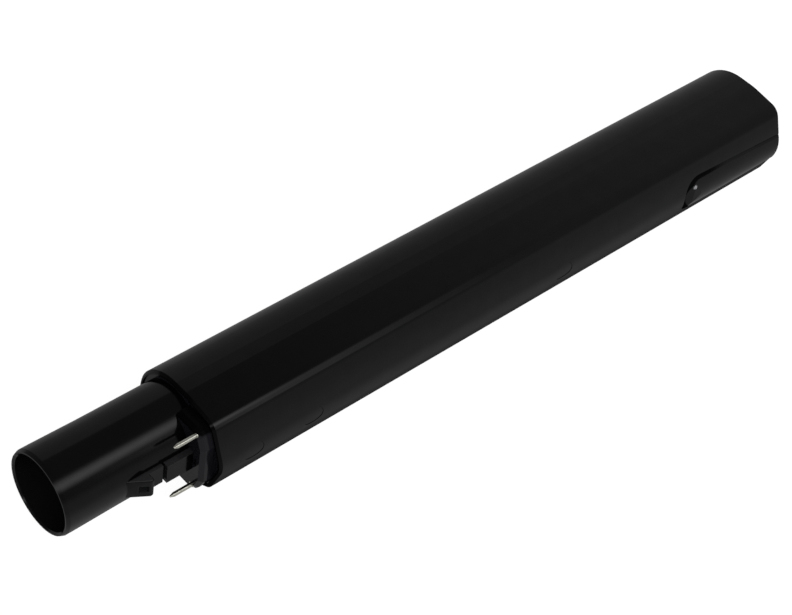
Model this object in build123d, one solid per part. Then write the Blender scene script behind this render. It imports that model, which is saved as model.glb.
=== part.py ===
from build123d import *
from math import cos, radians, tan
import os

# Vacuum extension wand with two power contacts, lying on one flat side of its sheath.
# +X runs from the spigot's mouth to the socket end, and the contact side faces -Y.
# A station is an X value, "back" is a distance towards -Y and "half" one towards +Z,
# all three from the centre of the spigot's mouth, in millimetres.

# Air tube, with its spigot, catch and guide rail
tube_radius = 17.5
bore_radius = 15.7
spigot_land = 25.0
spigot_taper = 1.0
run_radius = 17.25
tube_end = 316.5
rim_chamfer = 0.6
rib_half = 4.6
catch_start = 26.2
catch_crest = 33.8
catch_end = 35.4
catch_back = 21.6
catch_edge_round = 0.9
catch_pocket = (29.9, 33.3)
catch_pocket_half = 1.7
catch_pocket_floor = 18.3
rail_back = 18.5
key_start = 41.5
key_back = 19.7
key_groove = 0.9
post_radius = 4.0
post_top = 21.8

# Sheath section and length
sheath_start = 59.5
sheath_end = 380.5
sheath_wall = 1.6
sheath_half = 20.7
sheath_back = 29.5
crown_slope = 22.0
crown_round = 11.0
flat_end = 8.0
corner_half = 18.5
corner_round = 6.5
flat_blend = 30.0
spigot_end_chamfer = 1.0
socket_end_chamfer = 0.3
ridge_back = sheath_back + crown_round / cos(radians(crown_slope)) - crown_round
corner_back = ridge_back - corner_half * tan(radians(crown_slope))
fit_gap = 0.1

# Screws through the sheath's back, each under a plug
screw_stations = (75.5, 104.5, 241.0)
boss_radius = 6.0
boss_floor = 22.0
counterbore_radius = 4.5
counterbore_floor = 23.6
screw_clearance = 1.7
screw_radius = 1.25
screw_end = 18.6
screw_head_radius = 3.0
screw_head_height = 1.9
screw_pilot = 1.3
pilot_floor = 18.1
plug_radius = 4.4
plug_floor = 26.3
plug_recess = 0.15

# Pin block that closes the spigot end of the sheath
block_face = 54.2
flange_face = 60.2
flange_rear = 64.0
block_rear = 84.0
nose_root = 9.0
nose_corners = ((nose_root, 17.2), (18.6, 17.2), (20.9, 16.2), (22.6, 13.9), (24.8, 8.8))
nose_chamfer = 1.6
body_root = 18.2
face_pocket = (4.0, 2.0, 3.0)
face_pocket_back = 20.6

# Contacts and wires, the same distance from the tube on both sides
contact_back = 19.8
contact_half = 14.0
pin_radius = 0.95
pin_shank_radius = 1.2
pin_tip = 44.4
pin_point = 1.8
pin_tip_radius = 0.35
pin_end = 92.0
wire_radius = 1.2
sleeve_radius = 1.7
sleeve_overlap = 8.0
receptacle_radius = 1.7
receptacle_bore = 0.98
receptacle_end = 354.0
receptacle_base = 358.0
receptacle_depth = 12.0
receptacle_inset = 0.6

# Socket end
cuff_start = 306.5
cuff_end = 380.0
cuff_radius = 19.0
socket_radius = 17.6
socket_depth = 60.0
tube_seat_radius = 17.3
keyway_half = 5.2
keyway_start = 345.0
keyway_back = 22.2
recess_depth = 5.6
recess_half = 17.7
recess_back = 25.5
housing_start = 352.0
housing_half = 9.8
housing_root = 10.0

# Release lever, its pivot and its spring
opening_nose = 325.4
opening_bulb = 9.4
opening_end_half = 7.2
lever_gap = 0.6
lever_nose_shift = 0.5
lever_crown = 15.5
lever_wall = 2.6
lever_edge_chamfer = 0.7
lever_nose = ((0, 25.0), (2.2, 27.4), (6, 28.9), (11, 29.6))
pivot_station = 339.0
pivot_back = 22.4
pivot_radius = 1.5
pivot_running_gap = 0.05
pivot_half = 9.9
ear_inner = 8.6
ear_length = 10.0
ear_top = 24.4
ear_round = 2.6
hub_radius = 3.2
hub_half = 7.0
hook_face = 356.5
hook_thickness = 3.4
hook_tip = 20.0
hook_half = 4.0
hook_slope = 2.6
spring_station = 324.0
spring_seat = 19.7
spring_seat_radius = 4.0
spring_radius = 2.6
spring_wire = 0.6
spring_wire_sides = 5
spring_turns = 3.5
spring_peg_radius = 1.7
spring_peg_height = 1.5


def sheath_section(inset):
    # Round front, flat sides and ridged back, drawn in from the outer skin by the inset.
    with BuildSketch() as drawn:
        with BuildLine():
            Polyline(
                (0, sheath_half),
                (-flat_end, sheath_half),
                (-corner_back, corner_half),
                (-ridge_back, 0),
                (-corner_back, -corner_half),
                (-flat_end, -sheath_half),
                (0, -sheath_half),
            )
            ThreePointArc((0, -sheath_half), (sheath_half, 0), (0, sheath_half))
        make_face()
        rounds = ((ridge_back, crown_round), (corner_back, corner_round), (flat_end, flat_blend))
        for back, radius in rounds:
            fillet(drawn.vertices().filter_by_position(Axis.X, -back - 0.1, -back + 0.1), radius)
        if inset > 0:
            offset(amount=-inset, mode=Mode.REPLACE)
    return drawn.sketch


def along(section, start, end):
    # Carries a section across the wand from one station to another.
    return extrude(Plane.YZ.offset(start) * section, amount=end - start)


def rod(radius, start, end, back=0.0, half=0.0):
    return along(Pos(-back, half) * Circle(radius), start, end)


def bar(start, end, back, half):
    # A straight-sided block from (low, high) ranges of back and half.
    middle = Pos((start + end) / 2, -sum(back) / 2, sum(half) / 2)
    return middle * Box(end - start, back[1] - back[0], half[1] - half[0])


def post(radius, station, low, high):
    # A round post that stands away from the tube's axis on the wand's back.
    upright = Cylinder(radius, high - low, align=(Align.CENTER, Align.CENTER, Align.MIN))
    return Pos(station, -low, 0) * Rot(X=90) * upright


def cross_rod(radius, station, back, half):
    # A round bar that lies across the wand, the same length on both sides.
    return Pos(station, -back, 0) * Cylinder(radius, 2 * half)


def plate(points, half):
    # An outline of (station, back) points, as thick on both sides of the middle.
    outline = Polygon(*[(station, -back) for station, back in points], align=None)
    return extrude(outline, amount=half, both=True)


def turned(points, back, half):
    # A turned piece from (station, radius) points, on an axis along the wand.
    outline = Polygon(*points, align=None)
    return Pos(0, -back, half) * revolve(outline, Axis.X)


def lever_plan(gap, nose_shift):
    # Spoon-shaped outline of the lever's opening, drawn in by the gap.
    bulb = Pos(opening_nose + nose_shift) * Circle(opening_bulb - gap)
    end = Pos(sheath_end) * Rectangle(2, 2 * (opening_end_half - gap))
    return make_hull(bulb.edges() + end.edges())


def make_sheath():
    sheath = along(sheath_section(0), sheath_start, sheath_end)
    sheath = chamfer(sheath.edges().group_by(Axis.X)[0], spigot_end_chamfer)
    sheath = chamfer(sheath.edges().group_by(Axis.X)[-1], socket_end_chamfer)
    cavity = along(sheath_section(sheath_wall), sheath_start - 1, sheath_end + 1)
    sheath -= cavity
    for station in screw_stations:
        sheath += post(boss_radius, station, boss_floor, sheath_back) & cavity
    for station in screw_stations:
        sheath -= post(counterbore_radius, station, counterbore_floor, sheath_back + 1)
        sheath -= post(screw_clearance, station, boss_floor - 1, counterbore_floor)
    opening = extrude(Plane.XZ.offset(corner_back) * lever_plan(0, 0), amount=sheath_back)
    return sheath - opening


def make_air_tube():
    outline = (
        (0, 0),
        (0, tube_radius),
        (spigot_land, tube_radius),
        (spigot_land + spigot_taper, run_radius),
        (tube_end, run_radius),
        (tube_end, 0),
    )
    tube = turned(outline, 0, 0)
    catch = plate(
        (
            (catch_start, bore_radius - 2),
            (catch_start, run_radius - 0.3),
            (catch_crest, catch_back),
            (catch_end, catch_back),
            (catch_end, bore_radius - 2),
        ),
        rib_half,
    )
    crest = catch.edges().filter_by_position(Axis.Y, -catch_back - 1, -tube_radius)
    catch = fillet(crest, catch_edge_round)
    pocket_half = (-catch_pocket_half, catch_pocket_half)
    catch -= bar(*catch_pocket, (catch_pocket_floor, catch_back + 1), pocket_half)
    rail = bar(catch_end - 1, key_start, (bore_radius - 2, rail_back), (-rib_half, rib_half))
    key = bar(key_start + key_groove, block_face, (bore_radius - 2, key_back), (-rib_half, rib_half))
    tube += catch + rail + key
    for station in screw_stations[1:]:
        tube += post(post_radius, station, bore_radius - 1, post_top)
    tube -= rod(bore_radius, -1, tube_end + 1)
    for station in screw_stations[1:]:
        tube -= post(screw_pilot, station, pilot_floor, post_top + 1)
    return chamfer(tube.edges().group_by(Axis.X)[0], rim_chamfer)


def make_pin_block():
    inner = sheath_section(sheath_wall + fit_gap)
    block = along(inner, flange_face, flange_rear)
    behind = bar(flange_rear, block_rear, (body_root, sheath_back), (-sheath_half, sheath_half))
    block += along(inner, flange_rear, block_rear) & behind
    upper = [(-back, half) for back, half in nose_corners]
    lower = [(-back, -half) for back, half in reversed(nose_corners)]
    nose = along(Polygon(*upper, *lower, align=None), block_face, flange_rear)
    face_edges = nose.edges().group_by(Axis.X)[0].sort_by(Axis.Y)
    block += chamfer(face_edges[:-1], nose_chamfer)
    block -= rod(run_radius, block_face - 1, block_rear + 1)
    block -= post(boss_radius + fit_gap, screw_stations[0], post_top, sheath_back)
    block -= post(screw_pilot, screw_stations[0], pilot_floor, post_top)
    width, height, depth = face_pocket
    pocket_back = (face_pocket_back - height / 2, face_pocket_back + height / 2)
    block -= bar(block_face - 1, block_face + depth, pocket_back, (-width / 2, width / 2))
    for side in (1, -1):
        half = side * contact_half
        block -= rod(pin_shank_radius, block_face - 1, block_rear + 1, contact_back, half)
    return block


def make_contact_pin(side):
    outline = (
        (pin_tip, 0),
        (pin_tip, pin_tip_radius),
        (pin_tip + pin_point, pin_radius),
        (block_face, pin_radius),
        (block_face, pin_shank_radius),
        (pin_end, pin_shank_radius),
        (pin_end, 0),
    )
    return turned(outline, contact_back, side * contact_half)


def make_receptacle(side):
    mouth = sheath_end - recess_depth - receptacle_inset
    outline = (
        (receptacle_end, 0),
        (receptacle_end, wire_radius),
        (receptacle_base, wire_radius),
        (receptacle_base, receptacle_radius),
        (mouth, receptacle_radius),
        (mouth, receptacle_bore),
        (mouth - receptacle_depth, receptacle_bore),
        (mouth - receptacle_depth, 0),
    )
    return turned(outline, contact_back, side * contact_half)


def make_sleeve(side, joint):
    # Shrink sleeve over a soldered joint and the first stretch of the wire.
    half = side * contact_half
    start, end = joint - sleeve_overlap / 2, joint + sleeve_overlap / 2
    sleeve = rod(sleeve_radius, start, end, contact_back, half)
    return sleeve - rod(wire_radius, start, end, contact_back, half)


def make_cuff():
    cuff = rod(cuff_radius, cuff_start, cuff_end)
    floor = sheath_end - recess_depth
    inner = along(sheath_section(sheath_wall + fit_gap), housing_start, floor)
    for side in (1, -1):
        span = sorted((side * housing_half, side * sheath_half))
        cuff += inner & bar(housing_start, floor, (housing_root, sheath_back), span)
        ear_span = sorted((side * ear_inner, side * pivot_half))
        ear_ends = (pivot_station - ear_length / 2, pivot_station + ear_length / 2)
        ear = bar(*ear_ends, (bore_radius, ear_top), ear_span)
        cuff += fillet(ear.edges().filter_by(Axis.Z).group_by(Axis.Y)[0], ear_round)
    cuff += post(spring_seat_radius, spring_station, bore_radius, spring_seat)
    cuff += post(spring_peg_radius, spring_station, bore_radius, spring_seat + spring_peg_height)
    cuff -= rod(socket_radius, sheath_end - socket_depth, cuff_end + 1)
    cuff -= rod(bore_radius, tube_end - 1, sheath_end)
    cuff -= rod(tube_seat_radius, cuff_start - 1, tube_end)
    keyway_span = (-keyway_half, keyway_half)
    cuff -= bar(keyway_start, cuff_end + 1, (bore_radius - 3, keyway_back), keyway_span)
    recess_span = (-recess_half, recess_half)
    cuff -= bar(floor, cuff_end + 1, (nose_root - 2, recess_back), recess_span)
    cuff -= cross_rod(pivot_radius, pivot_station, pivot_back, pivot_half + 1)
    for side in (1, -1):
        half = side * contact_half
        cuff -= rod(receptacle_radius, housing_start - 1, floor, contact_back, half)
    return cuff


def make_lever():
    skin = rod(lever_crown, opening_nose - opening_bulb, sheath_end, sheath_back - lever_crown)
    skin &= extrude(Plane.XZ.offset(corner_back) * lever_plan(lever_gap, lever_nose_shift), amount=sheath_back)
    outer_rim = skin.faces().sort_by(Axis.Y)[0].edges()
    skin = chamfer(outer_rim, lever_edge_chamfer)
    tip = opening_nose + lever_nose_shift - opening_bulb + lever_gap
    brow = [(tip + reach, back) for reach, back in lever_nose]
    skin &= plate([(tip, 0), *brow, (sheath_end, sheath_back + 1), (sheath_end, 0)], opening_bulb)
    skin -= along(sheath_section(lever_wall), opening_nose - opening_bulb, sheath_end)
    under = along(sheath_section(lever_wall / 2), opening_nose - opening_bulb, sheath_end)
    hub = cross_rod(hub_radius, pivot_station, pivot_back, hub_half)
    hub_ends = (pivot_station - hub_radius, pivot_station + hub_radius)
    hub += bar(*hub_ends, (pivot_back, sheath_back), (-hub_half, hub_half)) & under
    hook = plate(
        (
            (hook_face, sheath_back),
            (hook_face, hook_tip),
            (hook_face + hook_thickness / 3, hook_tip),
            (hook_face + hook_thickness, hook_tip + hook_slope),
            (hook_face + hook_thickness, sheath_back),
        ),
        hook_half,
    )
    peg_root = sheath_back - lever_wall
    peg = post(spring_peg_radius, spring_station, peg_root - spring_peg_height, sheath_back)
    lever = skin + hub + (hook & under) + (peg & under)
    return lever - cross_rod(pivot_radius + pivot_running_gap, pivot_station, pivot_back, hub_half + 1)


def make_spring():
    free_length = sheath_back - lever_wall - spring_seat
    coil_height = free_length - spring_wire
    path = Helix(coil_height / spring_turns, coil_height, spring_radius)
    start = Plane(path @ 0, z_dir=path % 0)
    coil = sweep(start * RegularPolygon(spring_wire / 2, spring_wire_sides), path)
    return Pos(spring_station, -spring_seat - spring_wire / 2, 0) * Rot(X=90) * coil


def make_screw(station):
    head_top = counterbore_floor + screw_head_height
    head = post(screw_head_radius, station, counterbore_floor, head_top)
    return head + post(screw_radius, station, screw_end, counterbore_floor)


def make_plug(station):
    skin = along(sheath_section(plug_recess), station - boss_radius, station + boss_radius)
    return post(plug_radius, station, plug_floor, sheath_back) & skin


parts = {
    "outer_sheath": make_sheath(),
    "air_tube": make_air_tube(),
    "pin_block": make_pin_block(),
    "socket_cuff": make_cuff(),
    "release_lever": make_lever(),
    "lever_pivot_pin": cross_rod(pivot_radius, pivot_station, pivot_back, pivot_half),
    "lever_spring": make_spring(),
    "sheath_screws": Compound([make_screw(station) for station in screw_stations]),
    "screw_plugs": Compound([make_plug(station) for station in screw_stations]),
}
for name, side in (("upper", 1), ("lower", -1)):
    parts["contact_pin_" + name] = make_contact_pin(side)
    parts["contact_receptacle_" + name] = make_receptacle(side)
    parts["wire_" + name] = rod(wire_radius, pin_end, receptacle_end, contact_back, side * contact_half)
    parts["pin_sleeve_" + name] = make_sleeve(side, pin_end)
    parts["receptacle_sleeve_" + name] = make_sleeve(side, receptacle_end)

os.makedirs("parts", exist_ok=True)
for name, shape in parts.items():
    export_step(shape, "parts/" + name + ".step")
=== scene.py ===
import bpy
from math import cos, pi, radians, sin
from mathutils import Matrix, Vector


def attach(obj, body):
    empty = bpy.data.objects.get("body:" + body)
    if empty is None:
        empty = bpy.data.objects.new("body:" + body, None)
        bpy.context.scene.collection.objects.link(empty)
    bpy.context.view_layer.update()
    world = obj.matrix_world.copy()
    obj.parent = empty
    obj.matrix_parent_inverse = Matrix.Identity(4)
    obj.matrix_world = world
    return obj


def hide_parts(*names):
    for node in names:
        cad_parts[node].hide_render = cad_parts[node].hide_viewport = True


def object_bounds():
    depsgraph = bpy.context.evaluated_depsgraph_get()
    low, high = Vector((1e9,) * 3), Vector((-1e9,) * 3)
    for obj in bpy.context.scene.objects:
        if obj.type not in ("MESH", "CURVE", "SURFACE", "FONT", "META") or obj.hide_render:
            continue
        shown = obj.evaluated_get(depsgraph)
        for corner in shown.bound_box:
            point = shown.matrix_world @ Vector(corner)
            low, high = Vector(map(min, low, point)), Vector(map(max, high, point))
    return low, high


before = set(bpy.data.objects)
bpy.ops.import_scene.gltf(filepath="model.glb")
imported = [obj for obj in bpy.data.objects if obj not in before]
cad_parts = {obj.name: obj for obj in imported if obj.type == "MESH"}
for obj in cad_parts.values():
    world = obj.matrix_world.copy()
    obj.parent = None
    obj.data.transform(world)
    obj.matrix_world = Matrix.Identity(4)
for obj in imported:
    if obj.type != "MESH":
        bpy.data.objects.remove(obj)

cadBox = [list(corner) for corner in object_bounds()]
bpy.context.scene.view_settings.view_transform = "Standard"


class Signal:  # one node output, so that shader sums read as plain Python
    def __init__(self, tree, socket=None):
        self.tree = tree
        self.socket = socket

    def node(self, kind, settings=None, inputs=None, output=0):  # any node: its type, settings, then sockets
        made = self.tree.nodes.new(kind)
        for key, value in (settings or {}).items():
            if key == "stops":
                while len(made.color_ramp.elements) < len(value):
                    made.color_ramp.elements.new(0.5)
                for element, (place, colour) in zip(made.color_ramp.elements, value):
                    element.position = place
                    element.color = colour
            else:
                setattr(made, key, value)
        for key, value in (inputs or {}).items():
            if isinstance(value, Signal):
                self.tree.links.new(value.socket, made.inputs[key])
            else:
                made.inputs[key].default_value = value
        return Signal(self.tree, made.outputs[output] if len(made.outputs) else None)

    def maths(self, operation, first, second=0.0):
        return self.node("ShaderNodeMath", {"operation": operation}, {0: first, 1: second})

    def __add__(self, other):
        return self.maths("ADD", self, other)

    def __radd__(self, other):
        return self.maths("ADD", other, self)

    def __sub__(self, other):
        return self.maths("SUBTRACT", self, other)

    def __rsub__(self, other):
        return self.maths("SUBTRACT", other, self)

    def __mul__(self, other):
        return self.maths("MULTIPLY", self, other)

    def __rmul__(self, other):
        return self.maths("MULTIPLY", other, self)

    def __truediv__(self, other):
        return self.maths("DIVIDE", self, other)

    def between(self, low, high):  # 0 at low, 1 at high, eased
        settings = {"interpolation_type": "SMOOTHSTEP"}
        return self.node("ShaderNodeMapRange", settings, {"Value": self, "From Min": low, "From Max": high})


# Camera

cameraSet = {
    "azimuth": -49.36, "elevation": 45.28, "roll": 10.53,
    "aim": (0.1687, -0.0045, 0.0), "distance": 0.7952,
    "lens": 90.07, "sensor": 36.0,
}


def addCamera(camera):
    data = bpy.data.cameras.new("photoCamera")
    data.lens = camera["lens"]
    data.sensor_width = camera["sensor"]
    data.clip_start = 0.01
    turn = Matrix.Rotation(radians(camera["azimuth"]), 3, "Z")
    turn = turn @ Matrix.Rotation(radians(90 - camera["elevation"]), 3, "X")
    turn = turn @ Matrix.Rotation(radians(camera["roll"]), 3, "Z")
    place = Vector(camera["aim"]) + turn @ Vector((0, 0, camera["distance"]))
    obj = bpy.data.objects.new("photoCamera", data)
    obj.matrix_world = Matrix.Translation(place) @ turn.to_4x4()
    bpy.context.collection.objects.link(obj)
    bpy.context.scene.camera = obj
    print("camera at", [round(value, 4) for value in place])


addCamera(cameraSet)


# Room: a pale floor, a light room and one long soft box

roomSet = {
    "darkRoof": 0.33, "farRoof": 0.62, "roofStep": (0.42, 0.68),  # overhead, lighter towards +X
    "lightWall": 0.6, "farWall": 0.65,  # behind the panel edge on the +Y side
    "nearBack": 0.42, "farBack": 0.78, "backStep": (0.42, 0.46),  # -Y side, lighter towards +X
    "backSide": (0.2, 0.95),
    "horizon": 0.95, "horizonStep": (0.48, 0.58),
    "horizonLean": ((1.25, 1.56), (1.42, 1.58)),  # near, then towards +X
    "edgeSlope": 0.6598, "edgeSkew": 0.0116, "edgeSoft": 0.006,
    "panel": 4.6, "panelLean": (0.38, 0.74, 1.04),  # a soft panel over the -Y side
    "panelAlong": (0.434, 0.472),
    "trail": 2.0, "trailLean": (0.46, 0.74, 1.22, 1.4),  # and its fade towards +X
    "trailAlong": (0.42, 0.445, 0.6),
}
softBoxSet = {"size": (0.61, 0.40), "angle": -43.0, "distance": 0.9, "along": 0.204, "radiance": 0.4}
floorSet = {"size": 6.0, "along": 0.19, "glow": 0.95, "albedo": 0.1}


def lightRoom(room):
    world = bpy.data.worlds.new("studioRoom")
    bpy.context.scene.world = world
    world.use_nodes = True
    world.node_tree.nodes.clear()
    start = Signal(world.node_tree)
    direction = start.node("ShaderNodeTexCoord", output="Generated")
    parts = direction.node("ShaderNodeSeparateXYZ", inputs={0: direction})
    split = parts.socket.node.outputs
    x, y, z = [Signal(world.node_tree, split[axis]) for axis in ("X", "Y", "Z")]
    edge = y - z * room["edgeSlope"] - x * room["edgeSkew"]
    behindEdge = edge.between(-room["edgeSoft"], room["edgeSoft"])
    roof = room["darkRoof"] + x.between(*room["roofStep"]) * room["farRoof"]
    wall = room["lightWall"] + x * room["farWall"]
    lean = start.maths("ARCTAN2", 0 - y, z)  # from overhead towards -Y
    back = room["nearBack"] + x.between(*room["backStep"]) * (room["farBack"] - room["nearBack"])
    near, far = [lean.between(*ramp) for ramp in room["horizonLean"]]
    back = back + (near + x.between(*room["horizonStep"]) * (far - near)) * (room["horizon"] - back)
    backness = (0 - y).between(*room["backSide"])
    panelIn, panelFull, panelOut = room["panelLean"]
    panel = lean.between(panelIn, panelFull) * (1 - lean.between(panelFull, panelOut))
    panel = panel * (1 - x.between(*room["panelAlong"]))
    leanIn, leanFull, leanOut, leanEnd = room["trailLean"]
    alongIn, alongFull, alongEnd = room["trailAlong"]
    trail = lean.between(leanIn, leanFull) * (1 - lean.between(leanOut, leanEnd))
    trail = trail * x.between(alongIn, alongFull) * (1 - x.between(alongFull, alongEnd))
    upper = roof + backness * (back - roof) + panel * room["panel"] + trail * room["trail"]
    radiance = upper + behindEdge * (wall - upper)
    camera = start.node("ShaderNodeLightPath", output="Is Camera Ray")
    strength = radiance + camera * (1 - radiance)
    background = start.node("ShaderNodeBackground", inputs={"Color": (1, 1, 1, 1), "Strength": strength})
    start.node("ShaderNodeOutputWorld", inputs={"Surface": background})


def addSoftBox(box):
    angle = radians(box["angle"])
    aim = Vector((box["along"], 0, 0))
    toBox = Vector((0, sin(angle), cos(angle)))
    data = bpy.data.lights.new("softBox", "AREA")
    data.shape = "RECTANGLE"
    data.size, data.size_y = box["size"]
    data.energy = box["radiance"] * pi * data.size * data.size_y
    obj = bpy.data.objects.new("softBox", data)
    across = Vector((1, 0, 0))
    turn = Matrix((across, toBox.cross(across), toBox)).transposed()
    obj.matrix_world = Matrix.Translation(aim + box["distance"] * toBox) @ turn.to_4x4()
    bpy.context.collection.objects.link(obj)


def addFloor(floor):
    bpy.ops.object.select_all(action="DESELECT")
    centre = (floor["along"], 0, cadBox[0][2])
    bpy.ops.mesh.primitive_plane_add(size=floor["size"], location=centre)
    obj = bpy.context.object
    obj.name = "paleFloor"
    material = bpy.data.materials.new("paleFloor")
    material.use_nodes = True
    material.node_tree.nodes.clear()
    start = Signal(material.node_tree)
    rays = start.node("ShaderNodeLightPath")
    seen = [Signal(material.node_tree, rays.socket.node.outputs[name])
            for name in ("Is Camera Ray", "Is Glossy Ray", "Is Transmission Ray")]
    anySeen = seen[0].maths("MAXIMUM", seen[0], seen[1])
    anySeen = anySeen.maths("MAXIMUM", anySeen, seen[2])
    glow = start.node("ShaderNodeEmission", inputs={"Strength": anySeen * floor["glow"]})
    grey = floor["albedo"]
    matt = start.node("ShaderNodeBsdfDiffuse", inputs={"Color": (grey, grey, grey, 1)})
    both = start.node("ShaderNodeAddShader", inputs={0: glow, 1: matt})
    start.node("ShaderNodeOutputMaterial", inputs={"Surface": both})
    obj.data.materials.append(material)


lightRoom(roomSet)
addSoftBox(softBoxSet)
addFloor(floorSet)
print("room lit")


# Air tube: a copy whose spigot slims evenly from the mouth to the catch, with a longer round at the mouth

tubeShape = {"landEnd": 0.025, "landNear": 0.0001, "slimFrom": 0.006, "lip": 0.0006, "lipNear": 0.0003,
             "lipReach": 0.0009, "outside": 0.0173, "turnedRadius": 0.0176, "merge": 0.000002}


def pick(obj, chosen):
    bpy.ops.mesh.select_all(action="DESELECT")
    bpy.ops.object.mode_set(mode="OBJECT")
    for vertex in obj.data.vertices:
        vertex.select = chosen(vertex.co, vertex.co.yz.length)
    bpy.ops.object.mode_set(mode="EDIT")


def turnedNormal(face, place, outside):  # smooth where the face is turned, flat elsewhere
    across, outward = face.normal.yz, place.yz.normalized()
    if across.length < 0.2 or place.yz.length > outside:
        return face.normal
    facing = across.normalized().dot(outward)
    if abs(facing) < 0.97:
        return face.normal
    swing = outward * across.length * (1 if facing > 0 else -1)
    return Vector((face.normal.x, swing.x, swing.y))


def addTube(shape):
    obj = bpy.data.objects.new("slimTube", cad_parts["air_tube"].data.copy())
    bpy.context.collection.objects.link(obj)
    bpy.ops.object.select_all(action="DESELECT")
    obj.select_set(True)
    bpy.context.view_layer.objects.active = obj
    bpy.ops.object.shade_smooth()
    bpy.ops.object.mode_set(mode="EDIT")
    bpy.ops.mesh.select_mode(type="VERT")
    bpy.ops.mesh.select_all(action="SELECT")
    bpy.ops.mesh.remove_doubles(threshold=shape["merge"])
    bpy.ops.mesh.customdata_custom_splitnormals_clear()
    slide = shape["slimFrom"] - shape["landEnd"]
    for along, near, reach in ((shape["landEnd"], shape["landNear"], slide),
                               (shape["lip"], shape["lipNear"], shape["lipReach"])):
        pick(obj, lambda co, radius: abs(co.x - along) < near and radius > shape["outside"])
        bpy.ops.transform.translate(value=(reach, 0, 0))
    bpy.ops.object.mode_set(mode="OBJECT")
    mesh = obj.data
    places = [mesh.vertices[corner.vertex_index].co for corner in mesh.loops]
    normals = [None] * len(places)
    for face in mesh.polygons:
        for corner in face.loop_indices:
            normals[corner] = turnedNormal(face, places[corner], shape["turnedRadius"])
    mesh.normals_split_custom_set(normals)
    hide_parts("air_tube")
    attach(obj, "wand")
    print("air tube slimmed,", len(mesh.vertices), "points")
    return obj


airTube = addTube(tubeShape)


# Finishes: moulded black plastics, plated pins, brass, steel, wire and sleeve

def newFinish(name):
    material = bpy.data.materials.new(name)
    material.use_nodes = True
    start = Signal(material.node_tree)
    place = start.node("ShaderNodeTexCoord", output="Object")
    return material, material.node_tree.nodes["Principled BSDF"], place


def feed(shader, socket, signal):
    signal.tree.links.new(signal.socket, shader.inputs[socket])


def noise(place, scale, detail):  # scale in waves per metre
    return place.node("ShaderNodeTexNoise", inputs={"Vector": place, "Scale": scale, "Detail": detail})


def tint(place, share, first, second):
    settings = {"data_type": "RGBA"}
    return place.node("ShaderNodeMix", settings, {"Factor": share, "A": first, "B": second}, output="Result")


def bump(place, height, depth):
    return place.node("ShaderNodeBump", inputs={"Height": height, "Distance": depth, "Strength": 1.0})


def axes(place):
    split = place.node("ShaderNodeSeparateXYZ", inputs={0: place}).socket.node.outputs
    return [Signal(place.tree, split[axis]) for axis in ("X", "Y", "Z")]


def span(signal, low, high, soft):  # 1 between low and high, 0 outside
    return signal.between(low - soft, low) * (1 - signal.between(high, high + soft))


sheathPlastic = {"dark": (0.0008, 0.0008, 0.0009, 1), "pale": (0.0014, 0.0014, 0.0015, 1),
                 "gloss": 0.2, "glossRoughness": 0.1, "grain": 2e-7,
                 "rimEnd": (0.0604, 0.0606), "rimBack": (0.019, 0.024), "rimDull": (0.3, 0.65),
                 # the next two lines set painted shade in the floor side's reflection and a painted sheen
                 # along the ridge
                 "floorSide": (-0.0045, 0.0025), "floorDull": 0.78,
                 "ridge": (0.0245, 0.029), "ridgeGain": 0.4}


def sheathMarks(place, plastic):  # painted sheen along the ridge, duller cut end, and painted shade on the floor side
    x, y, z = axes(place)
    rim = 1 - x.between(*plastic["rimEnd"])
    frontDull, backDull = plastic["rimDull"]
    rim = rim * (frontDull + (0 - y).between(*plastic["rimBack"]) * (backDull - frontDull))
    # painted shade: the coat weakens towards the floor side, standing in for the shadowed floor it reflects
    floorSide = 1 - z.between(*plastic["floorSide"])
    # painted sheen: a stronger coat along the ridge brightens its reflection
    ridge = 1 + (0 - y).between(*plastic["ridge"]) * plastic["ridgeGain"]
    return (1 - rim) * (1 - floorSide * plastic["floorDull"]) * ridge, 0 * x


# the matt colour here is painted light: it lifts the shade in the pocket, the groove and the rail's crease,
# and pales the bore
tubePlastic = {"dark": (0.0008, 0.0008, 0.0009, 1), "pale": (0.0014, 0.0014, 0.0015, 1),
               "gloss": 0.2, "glossRoughness": 0.14, "grain": 3e-7, "matt": (0.012, 0.012, 0.013, 1),
               "bore": (0.0158, 0.0164), "boreShare": 0.35, "edge": 0.0001,
               "pocketAlong": (0.0298, 0.0334), "pocketHalf": 0.0018, "pocketBack": (0.017, 0.0213),
               "groove": (0.0414, 0.0425), "grooveBack": (0.0172, 0.0174),
               "railSide": (0.00445, 0.00475), "railEdge": 0.00005,
               "railBack": (0.0168, 0.0172), "railStart": (0.0261, 0.0262),
               "floorSide": (-0.003, 0.002), "floorEdge": 0.004,
               "floorEnd": (0.026, 0.0262), "floorGain": 0.4}


def tubeMarks(place, plastic):  # the bore is made paler, the rail's side, the pocket and the groove get painted light over their shade, and a band of the spigot's floor side gets a painted reflection
    x, y, z = axes(place)
    edge, half = plastic["edge"], plastic["pocketHalf"]
    bore = 1 - place.maths("SQRT", y * y + z * z).between(*plastic["bore"])
    pocket = span(x, *plastic["pocketAlong"], edge) * span(z, -half, half, edge)
    pocket = pocket * span(0 - y, *plastic["pocketBack"], edge)
    groove = span(x, *plastic["groove"], edge) * (0 - y).between(*plastic["grooveBack"])
    railSide = span(z, *plastic["railSide"], plastic["railEdge"]) * (0 - y).between(*plastic["railBack"])
    railSide = railSide * x.between(*plastic["railStart"])
    # painted reflection: a stronger coat on a band of the spigot's floor side
    floorSide = span(z, *plastic["floorSide"], plastic["floorEdge"]) * (1 - x.between(*plastic["floorEnd"]))
    cut = place.maths("MAXIMUM", pocket, groove)
    # painted light mixed into the colour of the bore, the rail's side, the pocket and the groove
    matt = place.maths("MAXIMUM", bore * plastic["boreShare"] + railSide, cut)
    return 1 + floorSide * plastic["floorGain"], matt


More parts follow.
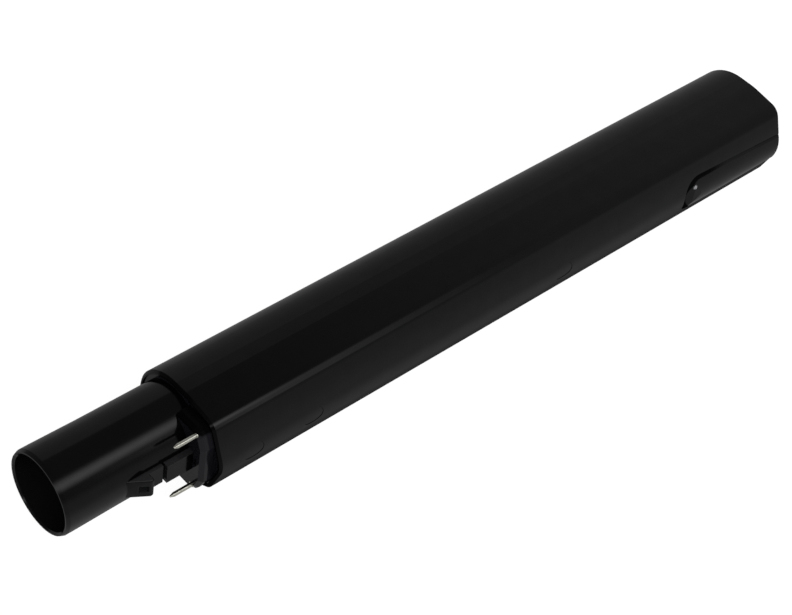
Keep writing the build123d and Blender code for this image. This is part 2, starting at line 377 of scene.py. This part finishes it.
# the matt colour here is painted shade, darkening the upper edge of the nose
blockPlastic = {"dark": (0.0060, 0.0055, 0.0071, 1), "pale": (0.0088, 0.0080, 0.0104, 1),
                "gloss": 0.2, "glossRoughness": 0.14, "grain": 6e-7, "matt": (0.0014, 0.0013, 0.0015, 1),
                "flange": (0.0598, 0.0601), "crest": (0.0140, 0.0152), "crestDull": 0.85,
                "root": (0.0571, 0.0575), "rootDull": 0.9}


def blockMarks(place, plastic):  # painted shade on the nose: its upper edge gets a darker colour and a weaker coat, and its root by the flange a weaker coat
    x, y, z = axes(place)
    nose = 1 - x.between(*plastic["flange"])
    # painted shade: the upper edge of the nose, darkened in colour and coat
    crest = z.between(*plastic["crest"]) * nose
    # painted shade: the root of the nose beside the flange, with a weaker coat
    root = x.between(*plastic["root"]) * nose
    return (1 - crest * plastic["crestDull"]) * (1 - root * plastic["rootDull"]), crest


# the matt colour here is the pale colour of a painted glint on the nose
leverPlastic = {"dark": (0.0022, 0.0022, 0.0023, 1), "pale": (0.0034, 0.0034, 0.0036, 1),
                "gloss": 0.2, "glossRoughness": 0.16, "grain": 9e-7, "matt": (0.30, 0.30, 0.31, 1),
                "rubbed": (0.3228, 0.0047), "rubbedSize": (0.00052, 0.0013), "rubbedBack": (0.0255, 0.0262),
                "nose": 0.3259, "noseStretch": 1.15, "rim": (0.0072, 0.0078), "rimEnd": (0.332, 0.346)}


def leverMarks(place, plastic):  # a weaker coat on the rim round the nose is a painted shadow of the gap there, and one pale spot on the nose is a painted glint
    x, y, z = axes(place)
    spotX, spotZ = plastic["rubbed"]
    offX, offZ = x - spotX, z - spotZ
    # painted glint: a small pale spot on the nose
    rubbed = 1 - place.maths("SQRT", offX * offX + offZ * offZ).between(*plastic["rubbedSize"])
    rubbed = rubbed * (0 - y).between(*plastic["rubbedBack"])
    # painted shadow: a weaker coat in a band round the nose stands in for the dark gap beside it
    reach = place.maths("MINIMUM", x - plastic["nose"], 0.0) * plastic["noseStretch"]
    rim = place.maths("SQRT", reach * reach + z * z).between(*plastic["rim"])
    return 1 - rim * (1 - x.between(*plastic["rimEnd"])), rubbed


plasticWaves = {"cloud": (35, 2.0), "grain": (2600, 1.0), "smear": (160, 3.0)}  # waves per metre, detail


def plasticFinish(name, plastic, marks):
    material, shader, place = newFinish(name)
    cloud, grain, smear = [noise(place, *plasticWaves[key]) for key in ("cloud", "grain", "smear")]
    gloss, matt = marks(place, plastic)
    colour = tint(place, cloud, plastic["dark"], plastic["pale"])
    # the second mask mixes painted light and shade into the colour: lifted recesses on the tube, a darker
    # nose edge on the block, a glint on the lever
    if "matt" in plastic:
        colour = tint(place, matt, colour, plastic["matt"])
    feed(shader, "Base Color", colour)
    feed(shader, "Roughness", 0.5 + grain * 0.15)
    # the first mask varies the coat, partly as painted shade and painted sheen
    feed(shader, "Coat Weight", plastic["gloss"] * (0.9 + smear * 0.2) * gloss)
    feed(shader, "Normal", bump(place, grain, plastic["grain"]))
    shader.inputs["Specular IOR Level"].default_value = 0.0
    shader.inputs["Coat IOR"].default_value = 1.5
    shader.inputs["Coat Roughness"].default_value = plastic["glossRoughness"]
    return material


metals = {
    "platedPin": {"clean": (0.36, 0.355, 0.325, 1), "dull": (0.22, 0.215, 0.18, 1), "roughness": 0.28},
    "brassBarrel": {"clean": (0.72, 0.55, 0.26, 1), "dull": (0.42, 0.30, 0.13, 1), "roughness": 0.3},
    "steelParts": {"clean": (0.58, 0.58, 0.60, 1), "dull": (0.36, 0.36, 0.38, 1), "roughness": 0.34},
}


def metalFinish(name, metal):
    material, shader, place = newFinish(name)
    patch = noise(place, 900, 3.0)
    feed(shader, "Base Color", tint(place, patch, metal["clean"], metal["dull"]))
    feed(shader, "Roughness", metal["roughness"] - 0.06 + patch * 0.12)
    shader.inputs["Metallic"].default_value = 1.0
    return material


sleeving = {
    "wireJacket": {"dark": (0.010, 0.010, 0.011, 1), "pale": (0.018, 0.018, 0.019, 1), "roughness": 0.5},
    "shrinkSleeve": {"dark": (0.30, 0.015, 0.012, 1), "pale": (0.42, 0.03, 0.02, 1), "roughness": 0.42},
}


def sleeveFinish(name, sleeve):
    material, shader, place = newFinish(name)
    ripple = noise(place, 1200, 2.0)
    feed(shader, "Base Color", tint(place, ripple, sleeve["dark"], sleeve["pale"]))
    feed(shader, "Roughness", sleeve["roughness"] + ripple * 0.1)
    feed(shader, "Normal", bump(place, ripple, 0.00003))
    return material


finishes = {
    "sheathGloss": plasticFinish("sheathGloss", sheathPlastic, sheathMarks),
    "tubeGloss": plasticFinish("tubeGloss", tubePlastic, tubeMarks),
    "blockSatin": plasticFinish("blockSatin", blockPlastic, blockMarks),
    "leverSatin": plasticFinish("leverSatin", leverPlastic, leverMarks),
}
for name, metal in metals.items():
    finishes[name] = metalFinish(name, metal)
for name, sleeve in sleeving.items():
    finishes[name] = sleeveFinish(name, sleeve)

nodeFinish = {
    "outer_sheath": "sheathGloss", "screw_plugs": "sheathGloss", "air_tube": "tubeGloss",
    "socket_cuff": "blockSatin", "pin_block": "blockSatin", "release_lever": "leverSatin",
    "lever_pivot_pin": "steelParts", "lever_spring": "steelParts", "sheath_screws": "steelParts",
}
sideFinish = {
    "contact_pin_": "platedPin", "contact_receptacle_": "brassBarrel", "wire_": "wireJacket",
    "pin_sleeve_": "shrinkSleeve", "receptacle_sleeve_": "shrinkSleeve",
}
for stem, finish in sideFinish.items():
    for side in ("upper", "lower"):
        nodeFinish[stem + side] = finish
for name, finish in nodeFinish.items():
    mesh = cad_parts[name].data
    mesh.materials.clear()
    mesh.materials.append(finishes[finish])
airTube.data.materials.clear()
airTube.data.materials.append(finishes["tubeGloss"])
print("finishes given to", len(nodeFinish), "nodes")
